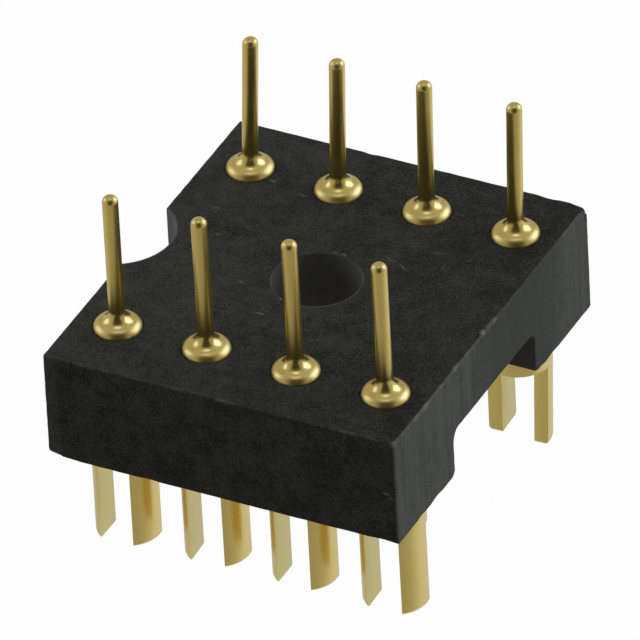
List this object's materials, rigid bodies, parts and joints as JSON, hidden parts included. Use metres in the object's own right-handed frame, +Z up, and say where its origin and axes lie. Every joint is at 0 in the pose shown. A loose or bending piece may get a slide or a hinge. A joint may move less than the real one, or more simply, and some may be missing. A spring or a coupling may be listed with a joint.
{
  "type": "pin header",
  "caption": "Pin header with a black moulded body, centre hole and end notch, holding turned gold pins with forked solder tails.",
  "frame": {"origin": "on the surface the header stands on, under the middle of the pin grid", "axes": "+X along the rows, away from the notched end; +Y across the rows; +Z up, the way the pins point"},
  "size_m": [0.01, 0.0114, 0.0104],
  "materials": {
    "plastic": "matt moulded glass-filled plastic, dark charcoal",
    "gold": "bright gold plating on brass"
  },
  "bodies": {
    "root": {"body": "plastic", "terminal_1": "gold", "terminal_2": "gold", "terminal_3": "gold", "terminal_4": "gold", "terminal_5": "gold", "terminal_6": "gold", "terminal_7": "gold", "terminal_8": "gold"}
  },
  "joints": []
}
